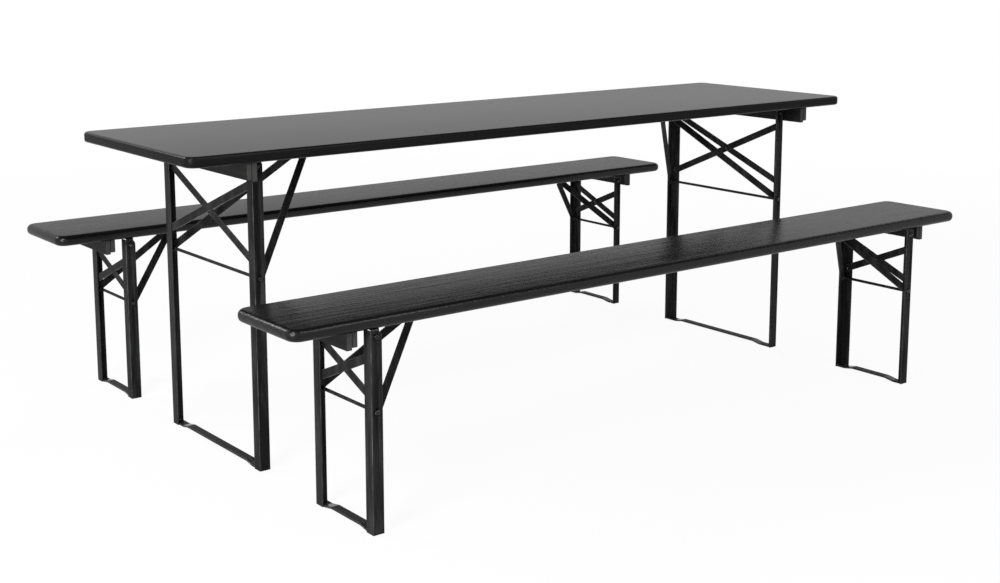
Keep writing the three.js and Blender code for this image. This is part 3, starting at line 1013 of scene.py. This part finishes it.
for end in frames:
    bars, rivets, slopes, middles = [], [], [], []
    for (low, high), x, lean in zip(end.size.cross, (outer_bar_x, inner_bar_x), (-1, 1)):
        reach_y, reach_z = high.y - low.y - bar_width, high.z - low.z - bar_width
        length = math.hypot(reach_y, reach_z)
        middles.append((high.z + low.z) / 2)
        slopes.append(lean * reach_z / reach_y)
        turn = shift(0, 0, middles[-1]) @ Matrix.Rotation(math.atan(slopes[-1]), 4, "X")
        bars.append(moved(flat_bar(length + bar_width, x), turn))
        rivets += end_rivets(x, length, turn)
    cross_y = (middles[1] - middles[0]) / (slopes[0] - slopes[1])
    cross_z = middles[0] + slopes[0] * cross_y
    crossing = shift(inner_bar_x + bar_steel, cross_y, cross_z)
    rivets.append(moved(rivet(*cross_rivet), crossing @ along_x))
    legs = end.name + "legs"
    strips = [("crossed_strips", joined(*bars), "cross_bars")]
    if end.kind == "table":
        strips = [("outer_cross_strip", bars[0], "outer_cross_bar"),
                  ("inner_cross_strip", bars[1], "inner_cross_bar")]
    # Narrow faces and eased edges take the paler edge coat: a painted highlight along each bar.
    for name, shape, node in strips:
        dress(end, name, [(shape, coat)], legs, "black_steel", [node],
              (edge_highlight_coat, is_narrow), **bar_edges)
    dress(end, "cross_rivets", [(joined(*rivets), worn_coat)], legs, "black_steel")
print("crossed bars:", len(frames))

# %% [markdown]
# ## The folding brace
#
# A V of flat steel stands on a rod between the legs and rises to a tip that the spring leaf holds.
# Its arms stand on edge, so that from the front one arm shows its broad face and the other its thin
# one. An arm is a row of upright slices: round at the eye on the rod, straight along the leg, then
# slanted to the gusset plate that closes the V. The rod turns in the legs and is headed outside
# them.

# %% Brace shapes
arm_steel = 4.0
arm_half = 10.0
gusset_length = 26.0
tip_width = 18.0
tip_chamfer = 1.0
eye_steps = 8
rod_radius = 4.0
rod_head = (6.0, 4.0)  # radius and height
to_other_side = Matrix.Rotation(math.pi, 4, "Z")
turn_gap = 0.4
side_gap = 1.0


def headed_rod(half_length):
    """A rod about Y with a domed head on each end: (rod, heads)."""
    rod = turned([(rod_radius, -half_length), (rod_radius, half_length)])
    head = moved(rivet(*rod_head), shift(0, half_length, 0))
    return rod, joined(head, moved(head, to_other_side))


def arm_foot(size):
    """How far out the arm's outer face lies beside the leg."""
    return size.leg_side - steel - side_gap


def arm_outside(size, length, x):
    """How far out the arm's outer face lies at a place between the rod and the tip."""
    foot = arm_foot(size)
    slant = (foot - arm_steel) / (length - arm_half)
    return foot - slant * max(0, x - arm_half)


def edge_arm(size, length, side):
    slices = [(-arm_half * c, arm_half * s) for c, s in arc(eye_steps)[1:]]
    slices += [(arm_half, arm_half), (length - gusset_length + arm_steel, arm_half)]
    rings = []
    for x, half in slices:
        outer = arm_outside(size, length, x)
        inner = outer - arm_steel
        section = [(outer, -half), (outer, half), (inner, half), (inner, -half)]
        rings.append([(x, side * y, z) for y, z in section])
    return skin(rings)


def gusset_plate(size, length):
    base = length - gusset_length
    wide = arm_outside(size, length, base)
    narrow = tip_width / 2
    half = [(base, wide), (length - narrow, narrow),
            (length - tip_chamfer, narrow), (length, narrow - tip_chamfer)]
    outline = half + [(x, -y) for x, y in reversed(half)]
    return skin([[(x, y, z) for x, y in outline] for z in (-arm_steel / 2, arm_steel / 2)])

# %% Collars and welds of the brace
collar_length = 3.0
collar_rise = 2.4
gusset_bead = 1.2  # radius
gusset_ripples = 3
gusset_bead_z = (2.4, 2.0)  # of its start and its stop, from the middle of the plate
gusset_bead_run = (4.0, 10.0)  # between them, along and across the brace


def rod_collars(size):
    """A cone inside each arm, where it is welded to the rod."""
    base = arm_foot(size) - arm_steel
    collar = turned([(rod_radius, base - collar_length), (rod_radius + collar_rise, base)])
    return joined(collar, moved(collar, to_other_side))


def gusset_beads(size, length):
    """Welds above and below the gusset plate, along the inner side of each arm."""
    base = length - gusset_length
    for side in (-1, 1):
        inner = side * (arm_outside(size, length, base) - arm_steel)
        for z in (-1, 1):
            start = (base, inner, z * gusset_bead_z[0])
            stop = (base + gusset_bead_run[0], inner - side * gusset_bead_run[1],
                    z * gusset_bead_z[1])
            yield weld_bead(start, stop, gusset_bead, gusset_ripples)

# %% Placing the braces
leaf_behind_tip = 34.0  # from the root of the spring leaf to the tip
tip_rise = 2.0  # above the leaf
brace_nodes = {"table": (["brace_front_arm", "brace_rear_arm"], ["brace_rod"]),
               "bench": (["brace"], [])}

for end in frames:
    size = end.size
    tip_x = size.catch[0].x + leaf_behind_tip
    tip_z = size.catch[1].z + tip_rise
    span = math.hypot(tip_x - size.rod.x, tip_z - size.rod.z)
    lean = math.asin(arm_steel / 2 / span)
    angle = math.atan2(tip_z - size.rod.z, tip_x - size.rod.x) - lean
    length = span * math.cos(lean)
    rod_place = shift(size.rod.x, 0, size.rod.z)
    lay = rod_place @ Matrix.Rotation(-angle, 4, "Y")
    arms = [edge_arm(size, length, side) for side in (-1, 1)]
    vee = moved(joined(*arms, gusset_plate(size, length)), lay)
    collars = moved(rod_collars(size), rod_place)
    beads = moved(joined(*gusset_beads(size, length)), lay)
    rod, heads = (moved(shape, rod_place) for shape in headed_rod(size.leg_side + turn_gap))
    body = end.name + "brace"
    arm_nodes, rod_nodes = brace_nodes[end.kind]
    dress(end, "brace_strips", [(vee, coat)], body, "black_steel", arm_nodes, **bar_edges)
    coated = joined(rod, collars, beads)
    dress(end, "headed_rod", [(coated, coat), (heads, worn_coat)], body, "black_steel", rod_nodes)
print("braces:", len(frames))

# %% [markdown]
# ## Hinge bracket, strap and spring leaf
#
# Under the board a bracket bent like a shallow U carries both hinge pins. A strap welded to it runs
# inwards and turns down to hold the spring leaf. Bracket and strap are bent strips again. The
# bracket's ends narrow to a half round below the pins, which the width of the strip follows.

# %% Hinge bracket and strap
bracket_steel = 3.2
bracket_bend = 4.0
lug_round = 10.0
strap_half = 15.0
seat_gap = 0.3
strap_gap = 0.2  # between bracket and strap, for the weld
lug_steps = 8


def bracket_shape(size):
    lug = size.leg_side - steel - turn_gap - bracket_steel / 2
    top = size.underside - seat_gap - bracket_steel / 2
    ends = [size.pivot.z - lug_round * c for c, _ in arc(lug_steps)[1:]]
    left = [(-lug, z) for z in ends]
    right = [(lug, z) for z in reversed(ends)]
    bends = rounded_line([left[-1], (-lug, top), (lug, top), right[0]], bracket_bend)
    line = [Vector(point) for point in left[:-1]] + bends + [Vector(point) for point in right[1:]]

    def across(point):
        below = max(0, size.pivot.z - point.y)
        half = math.sqrt(lug_round ** 2 - below ** 2)
        return size.pivot.x - half, size.pivot.x + half

    return bent_strip(line, bracket_steel, across)


def strap_shape(size):
    top = size.underside - seat_gap - bracket_steel / 2
    root = size.catch[0].x - seat_gap - bracket_steel / 2
    start = size.pivot.x + lug_round + strap_gap
    line = rounded_line([(start, top), (root, top), (root, size.catch[0].z)], bracket_bend)
    return moved(bent_strip(line, bracket_steel, lambda point: (-strap_half, strap_half)), along_x)

# %% Hinge pins
peened_end = (5.5, 2.0)  # radius and height


def hinge_pins(size):
    """Two pins with a domed head outside the leg and a peened end inside the lug."""
    head_base = size.leg_side + turn_gap
    lug_face = size.leg_side - steel - turn_gap
    shank = turned([(rod_radius, lug_face), (rod_radius, head_base)])
    head = moved(rivet(*rod_head), shift(0, head_base, 0))
    peened = moved(rivet(*peened_end), shift(0, -(lug_face - bracket_steel), 0))
    for turn in (0, math.pi):
        spin = shift(size.pivot.x, 0, size.pivot.z) @ Matrix.Rotation(turn, 4, "Z")
        yield from (moved(shape, spin) for shape in (shank, head, peened))

# %% Screws
screw_radius = 4.2
screw_rise = 1.5
screw_sides = 24
screw_rows = ((1.0, 0.0), (1.0, 0.25), (0.9, 0.6), (0.7, 0.85), (0.45, 0.97), (0.22, 1.0))
recess = 0.75  # depth of the cross, as a share of the head
cross_radius, cross_middle = 0.8, 0.3  # its reach, and the part that is sunk all round
plate_screw = 0.55  # places, as shares of the half width of the plate,
strap_screws = (0.3, 0.75)  # of the run of the strap
batten_screw = 0.7  # and of the half width of the batten


def screw_head():
    """A pan head that faces down, with a pressed cross in it."""
    rings = []
    for radius, rise in screw_rows:
        ring = []
        for i, (c, s) in enumerate(circle(screw_sides)):
            in_cross = radius < cross_radius and i % (screw_sides // 4) in (0, 1)
            in_cross = in_cross or radius < cross_middle
            z = -screw_rise * (rise - recess if in_cross else rise)
            ring.append((screw_radius * radius * c, screw_radius * radius * s, z))
        rings.append(ring)
    return skin(rings)


def screw_spots(end):
    size = end.size
    plate_face = size.underside - seat_gap - bracket_steel
    plate_half = size.leg_side - steel - turn_gap
    strap_run = size.catch[0].x - size.pivot.x
    for side in (-1, 1):
        yield size.pivot.x, side * plate_half * plate_screw, plate_face
    for share in strap_screws:
        yield size.pivot.x + strap_run * share, 0, plate_face
    low, high = size.batten
    deep_x = high.x - deep_strip / 2 if end.kind == "table" else low.x + deep_strip / 2
    for side in (-1, 0, 1):
        yield deep_x, side * high.y * batten_screw, low.z

# %% Placing the hinges and their screws
bracket_ease = 0.5

for end in frames:
    plates = joined(bracket_shape(end.size), strap_shape(end.size))
    dress(end, "hinge_bracket", [(plates, hinge_steel)], end.board, "hinge_steel",
          ["hinge_plate"], ease=bracket_ease)
    pins = joined(*hinge_pins(end.size))
    dress(end, "hinge_pins", [(pins, worn_coat)], end.board, "hinge_steel")
    screws = joined(*(moved(screw_head(), shift(*spot)) for spot in screw_spots(end)))
    dress(end, "screws", [(screws, bare_steel)], end.board, "hinge_steel")
print("hinges:", len(frames))

# %% [markdown]
# The spring leaf is a flat plate with a window that the tip of the brace springs into. Its free end
# is pressed with a finger, so it is rounded and dips a little. A plate with a window is one loop of
# four rings: the outline above and below, and the window below and above.

# %% Spring leaf
window_back = 16.0  # from the tip of the brace to the edge of the window
window_front = 18.0
window_half = 14.0
leaf_round = 12.0
leaf_dip = 1.6
leaf_ease = 0.4
window_round = 2.0
leaf_steps = 8
leaf_rivet = (3.2, 1.4)  # radius and height
leaf_rivet_back = 8.0  # from the root of the leaf
leaf_rivet_side = 10.0
facing_down = Matrix.Rotation(-math.pi / 2, 4, "X")


def leaf_shape(size):
    low, high = size.catch
    tip_x = low.x + leaf_behind_tip
    front = tip_x + window_front
    plate = rounded_outline(high.x - low.x, high.y - low.y, leaf_round, leaf_steps)
    window = rounded_outline(window_back + window_front, 2 * window_half, window_round, leaf_steps)
    plate_middle = (low.x + high.x) / 2
    window_middle = tip_x + (window_front - window_back) / 2
    outer = [(plate_middle + x, y) for x, y in plate]
    inner = [(window_middle + x, y) for x, y in window]

    def laid(outline, z):
        dips = [max(0, (x - front) / (high.x - front)) for x, _ in outline]
        return [(x, y, z - leaf_dip * dip * dip) for (x, y), dip in zip(outline, dips)]

    rings = ((outer, high.z), (outer, low.z), (inner, low.z), (inner, high.z))
    return skin([laid(outline, z) for outline, z in rings], loop=True)


for end in frames:
    low, high = end.size.catch
    spots = [shift(low.x + leaf_rivet_back, side * leaf_rivet_side, low.z) for side in (-1, 1)]
    rivets = joined(*(moved(rivet(*leaf_rivet), spot @ facing_down) for spot in spots))
    parts = [(leaf_shape(end.size), spring_steel), (rivets, bare_steel)]
    dress(end, "spring_leaf", parts, end.name + "catch", "spring_steel", ["spring_catch"],
          ease=leaf_ease)
print("spring leaves:", len(frames))
